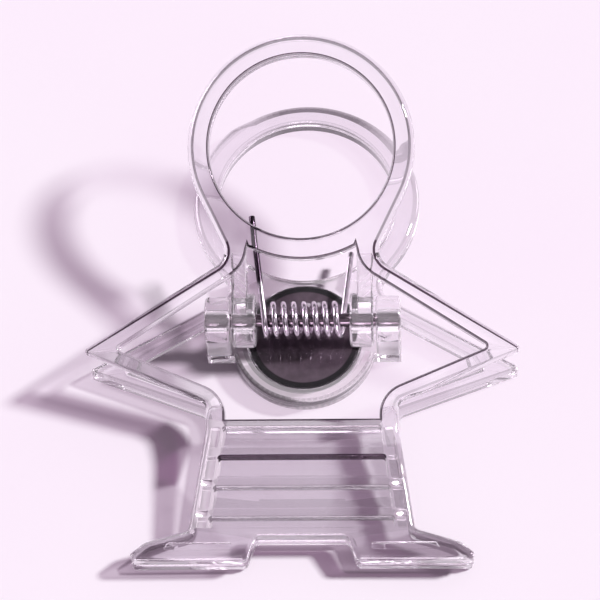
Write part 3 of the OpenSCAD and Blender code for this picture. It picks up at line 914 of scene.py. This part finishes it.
def rear_rounding(x, y):
    """Wider along the top of the ring."""
    return RING_TOP_ROUND if y > RING_TOP_Y and x > RING_TOP_X else OUTER_ROUND


# Painted shade along the rear half's outline, its holes and the bore of the cup
REAR_EDGE = Tones(rear_line, rear_painted_band, rear_painted_band, rear_painted_band, 0.15, rear_veil)
REAR_HOLE = Tones(0.3, 0.12, 0.0, 0.0, 0.1, rear_veil)
CUP_BORE = Tones(0.2, 0.1, 0.1, 0.0, 0.0, 0.1)


def rear_plate(mesh):
    shell = Shell(rear_top, lambda x, y: Vector((x, y, 0.0)), rear_face_shade, rear_face_veil, rear_haze)
    outline, *holes = sorted(flat_loops(mesh, 0.0), key=lambda q: -abs(area(q)))
    shell.edge(turned(outline), rear_rounding, REAR_EDGE, OUTER_ROUND)
    bore_area = math.pi * (MAGNET_R + MAGNET_CLEAR) ** 2
    for loop in holes:
        if abs(abs(area(loop)) - bore_area) < 0.02 * bore_area:
            shell.pocket(turned(loop, True), CUP_RIM, MAGNET_T, "bottom", CUP_FOOT, CUP_BORE)
        else:
            shell.edge(turned(loop, True), HOLE_ROUND, REAR_HOLE)
    first, last = CUP_SECTOR
    sector = arc((0, 0), CUP_RINGS[1], first, last, 30) + arc((0, 0), CUP_RINGS[2], last, first, 30)
    return shell.close(lines=[circle((0, 0), CUP_RINGS[0], 64), sector]).object("rear_plate")


def rear_ears():
    """Ears that hold the pin, right and left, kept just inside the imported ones. Their feet are frosted."""
    skin, foot_z = 0.02, 1.2 - HINGE_Z
    hole, r = circle((0, 0), PIN_R + PIN_HOLD, 48), EAR_R - skin
    loop = arc((0, 0), r, 0, 180, 48) + [(-r, foot_z), (r, foot_z)]
    made = []
    for side in (1, -1):
        ear = Shell(on_rear(side * (EAR_X + EAR_W - skin)), on_rear(side * (EAR_X + skin)), veil=0.1, haze=0.1,
                    frost=lambda y, z: 0.35 if z < -1 else 0.08)
        ear.edge(turned(loop), LUG_ROUND, LUG_EDGE).edge(turned(hole, True), BORE_ROUND, LUG_EDGE)
        made.append(ear.close().object("ear"))
    return made


# Turned and drawn metal

def skinned(name, bm, rings):
    """A smooth closed piece from rings of corners."""
    sides = len(rings[0])
    for a, b in zip(rings, rings[1:]):
        for k in range(sides):
            j = (k + 1) % sides
            bm.faces.new((a[k], a[j], b[j], b[k]))
    bm.faces.new(rings[0][::-1])
    bm.faces.new(rings[-1])
    bmesh.ops.recalc_face_normals(bm, faces=bm.faces)
    piece = mesh_object(name, bm)
    piece.data.shade_smooth()
    return piece


def lathe(name, rings, place, sides):
    """A turned piece: rings of (radius, distance) along an axis, closed at both ends."""
    bm = bmesh.new()
    turns = [2 * math.pi * k / sides for k in range(sides)]
    made = [[bm.verts.new(place(r * math.cos(t), r * math.sin(t), d) * MM) for t in turns] for r, d in rings]
    piece = skinned(name, bm, made)
    piece.data.set_sharp_from_angle(angle=SHARP)
    return piece


def eased(length, radius, edge, steps=4):
    """Rings of a pin with rounded ends, about its middle."""
    turns = [math.pi / 2 * k / steps for k in range(steps + 1)]
    end = [(radius - edge * (1 - math.sin(t)), length / 2 - edge * (1 - math.cos(t))) for t in turns]
    return [(r, -d) for r, d in end] + [(r, d) for r, d in reversed(end)]


def stands_for(piece, node, body, material):
    """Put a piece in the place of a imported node, on the node's body."""
    piece.data.materials.clear()
    piece.data.materials.append(material)
    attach(piece, body)
    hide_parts(node)


stands_for(united("rear_moulding", [rear_plate(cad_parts["rear_half"].data)] + rear_ears()),
           "rear_half", "rear", clear_plastic("rear_plastic"))
stands_for(united("front_moulding", [front_plate()] + lever_lugs()),
           "front_lever", "lever", clear_plastic("lever_plastic"))

PIN_LENGTH, PIN_EDGE = 2 * (EAR_X + EAR_W), 0.3
pin = lathe("pin_rod", eased(PIN_LENGTH, PIN_R, PIN_EDGE),
            lambda a, b, d: Vector((d, HINGE_Y + a, HINGE_Z + b)), 48)
stands_for(pin, "hinge_pin", "rear",
           steel("pin_steel", PIN_DARK, PIN_LIGHT, rough=(0.15, 0.26), stretch=(0.05, 1, 1)))

# The disc reaches a little into the wall and the floor of its cup, so that no gap of air mirrors light there
OVERLAP, FACE_IN = 0.03, 0.02
BED, DISC_TOP = MAGNET_R + MAGNET_CLEAR + OVERLAP, MAGNET_T + OVERLAP
# Broken rims below and above, as how far in they reach and where they end
(LOW_IN, LOW_END), (HIGH_IN, HIGH_END) = (0.4, 0.3), (0.35, MAGNET_T - 0.25)
disc = lathe("magnet_disc", [(BED - LOW_IN, FACE_IN), (BED, LOW_END), (BED, HIGH_END), (BED - HIGH_IN, DISC_TOP)],
             lambda a, b, d: Vector((a, b, d)), 96)
stands_for(disc, "magnet", "rear", ferrite())

# Spring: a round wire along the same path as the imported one

HINGE = Vector((0.0, HINGE_Y, HINGE_Z)) * MM
WIRE_R, COIL_R, COIL_PITCH, CURLS = 0.43, 2.3, 1.42, 7
FRONT_LEG, REAR_LEG, FRONT_LEAN, REAR_LEAN, LEG_GAP = 14.6, 13.0, 1.8, 1.3, 0.1
RINGS_PER_CURL, LEG_RINGS, WIRE_SIDES = 32, 12, 16
# How far back each ring of a tip is and how wide, as shares of the wire's radius
TIP = (0, 0.25), (0.14, 0.75), (0.4, 1.0)

coil_start = -(CURLS + 0.5) * COIL_PITCH / 2
front_leg_x = -coil_start + FRONT_LEAN / 2
rear_leg_x = -coil_start + REAR_LEAN / 2
front_seat = Vector((lift(HEAD_Y) - math.sqrt(HEAD_R ** 2 - front_leg_x ** 2),
                     LEVER_RISE - PLATE_T / 2 - WIRE_R - LEG_GAP))
rear_seat = Vector((HEAD_Y - math.sqrt(HEAD_HOLE_R ** 2 - rear_leg_x ** 2),
                    PLATE_T + WIRE_R + LEG_GAP - HINGE_Z))


def bearing(p):
    return math.degrees(math.atan2(p.y, p.x))


def lead(p):
    """The angle at the coil's middle between a seat and the leg that runs to it as a tangent."""
    return math.degrees(math.asin(COIL_R / p.length))


front_turn = TILT + bearing(front_seat) - lead(front_seat)
rear_turn = bearing(rear_seat) + lead(rear_seat)
turn_from = 90 + front_turn
turn_to = 270 + rear_turn + 360 * CURLS


def spring_path():
    """Points along the wire, in metres: the front leg from its tip, the coil, and the rear leg to its tip."""
    count = math.ceil((turn_to - turn_from) / 360 * RINGS_PER_CURL)
    coil = []
    for i in range(count + 1):
        t = turn_from + (turn_to - turn_from) * i / count
        coil.append(Vector((coil_start - 2 * coil_start * i / count, COIL_R * deg_cos(t), COIL_R * deg_sin(t))))
    front_tip = coil[0] + Vector((-FRONT_LEAN, FRONT_LEG * deg_cos(front_turn), FRONT_LEG * deg_sin(front_turn)))
    rear_tip = coil[-1] + Vector((REAR_LEAN, REAR_LEG * deg_cos(rear_turn), REAR_LEG * deg_sin(rear_turn)))
    front = [front_tip.lerp(coil[0], i / LEG_RINGS) for i in range(LEG_RINGS)]
    rear = [coil[-1].lerp(rear_tip, (i + 1) / LEG_RINGS) for i in range(LEG_RINGS)]
    return [HINGE + p * MM for p in front + coil + rear]


def tube(name, path, radius, sides):
    """A round wire with eased tips."""
    bm = bmesh.new()
    last = len(path) - 1

    def ring(centre, way, r):
        side = way.cross(Vector((1, 0, 0))).normalized()
        other = way.cross(side)
        turns = [2 * math.pi * k / sides for k in range(sides)]
        return [bm.verts.new(centre + r * (side * math.cos(t) + other * math.sin(t))) for t in turns]

    ways = [(path[min(i + 1, last)] - path[max(i - 1, 0)]).normalized() for i in range(last + 1)]
    rings = [ring(path[0] + ways[0] * radius * back, ways[0], radius * share) for back, share in TIP]
    rings += [ring(path[i], ways[i], radius) for i in range(1, last)]
    rings += [ring(path[last] - ways[last] * radius * back, ways[last], radius * share) for back, share in TIP[::-1]]
    return skinned(name, bm, rings)


spring = tube("spring_wire", spring_path(), WIRE_R * MM, WIRE_SIDES)
spring.data.materials.append(steel("spring_steel", SPRING_DARK, SPRING_LIGHT, rough=(0.12, 0.25),
                                   black_from=SHADED_LEG_FROM))
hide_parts("torsion_spring")
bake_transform(spring)

# Floor, light and camera

FLOOR_HALF, FLOOR_Z = 1.5, -0.02 * MM
PAPER_DARK, PAPER_LIGHT, FAR_GREY = (0.97, 0.85, 0.97), (0.98, 0.89, 0.98), (0.3, 0.26, 0.3)
PALE_TO, GREY_FROM = 0.3, 0.6


def floor():
    """Pale paper round the clip, and grey far out of the picture, where the plastic's sides would mirror it."""
    h = FLOOR_HALF
    mesh = bpy.data.meshes.new("floor")
    mesh.from_pydata([(-h, -h, 0), (h, -h, 0), (h, h, 0), (-h, h, 0)], [], [(0, 1, 2, 3)])
    piece = bpy.data.objects.new("floor", mesh)
    scene.collection.objects.link(piece)
    piece.location.z = FLOOR_Z
    mat, tree, body, surface = new_material("floor_paper")
    sheet = ramp(tree, noise(tree, scale=12.0, detail=2.0), [(0.3, PAPER_DARK), (0.7, PAPER_LIGHT)])
    reach = calc(tree, "LENGTH", place_on(tree), kind="ShaderNodeVectorMath")
    away = map_range(tree, reach, 0.0, 1.0, PALE_TO, GREY_FROM, "SMOOTHSTEP")
    give(tree, body, Roughness=0.9, Specular_IOR_Level=0.1, Base_Color=mix(tree, away, sheet, FAR_GREY))
    tree.links.new(body.outputs["BSDF"], surface)
    mesh.materials.append(mat)


floor()

SUN_FROM = Vector((22.0, 6.0, 18.8))
sun = bpy.data.lights.new("key", "SUN")
sun.energy = 3.95
sun.angle = math.radians(7)
key = bpy.data.objects.new("key", sun)
key.rotation_mode = "QUATERNION"
key.rotation_quaternion = SUN_FROM.to_track_quat("Z", "Y")
scene.collection.objects.link(key)

world = bpy.data.worlds.new("studio")
scene.world = world
world.use_nodes = True
tree = world.node_tree
tree.nodes.clear()
generated = add(tree, "ShaderNodeTexCoord").outputs["Generated"]


def tinted(strength):
    return strength, strength * 0.88, strength


def glow(axis, stops):
    """Light that depends on the angle from an axis, given as stops of its cosine and a strength."""
    toward = calc(tree, "DOT_PRODUCT", generated, Vector(axis).normalized(), kind="ShaderNodeVectorMath")
    return ramp(tree, toward, [(cosine, tinted(strength)) for cosine, strength in stops])


# The room, and the white cards that only gloss and glass show
sky = glow(SUN_FROM, [(0.0, 0.1), (0.5, 0.14), (0.8, 0.22), (0.94, 0.6)])
CARDS = (((0.0, -0.42, 0.907), [(0.96, 0.0), (0.985, 1.2)]), ((0.0, 0.47, 0.88), [(0.92, 0.0), (0.97, 0.2)]),
         ((0.03, -0.95, 0.3), [(0.965, 0.0), (0.98, 9.0)]), ((-0.85, 0.43, 0.3), [(0.95, 0.0), (0.97, 9.0)]))
PALE = tinted(0.5)
cards = sky
for axis, stops in CARDS:
    cards = mix(tree, 1.0, cards, glow(axis, stops), "LIGHTEN")
path = add(tree, "ShaderNodeLightPath").outputs
seen = mix(tree, path["Is Glossy Ray"], sky, cards)
seen = mix(tree, path["Is Transmission Ray"], seen, mix(tree, 1.0, cards, PALE, "LIGHTEN"))
back = add(tree, "ShaderNodeBackground", Color=seen)
add(tree, "ShaderNodeOutputWorld", Surface=back.outputs["Background"])

ELEVATION, AZIMUTH, ROLL = (math.radians(a) for a in (64.338, 5.823, -5.769))
TARGET = Vector((-0.821, 7.016, 0.0)) * MM
DISTANCE = 400 * MM
FOCAL_PIXELS, FRAME_PIXELS = 2783.2, 600

camera_data = bpy.data.cameras.new("camera")
camera_data.sensor_width = 36.0
camera_data.lens = camera_data.sensor_width * FOCAL_PIXELS / FRAME_PIXELS
camera_data.clip_start, camera_data.clip_end = 0.01, 10.0
camera = bpy.data.objects.new("camera", camera_data)
scene.collection.objects.link(camera)
level = math.cos(ELEVATION)
backward = Vector((math.sin(AZIMUTH) * level, -math.cos(AZIMUTH) * level, math.sin(ELEVATION)))
right = Vector((math.cos(AZIMUTH), math.sin(AZIMUTH), 0.0))
up = backward.cross(right)
rolled_right = right * math.cos(ROLL) + up * math.sin(ROLL)
rolled_up = up * math.cos(ROLL) - right * math.sin(ROLL)
turn = Matrix((rolled_right, rolled_up, backward)).transposed()
camera.matrix_world = Matrix.Translation(TARGET + backward * DISTANCE) @ turn.to_4x4()
scene.camera = camera
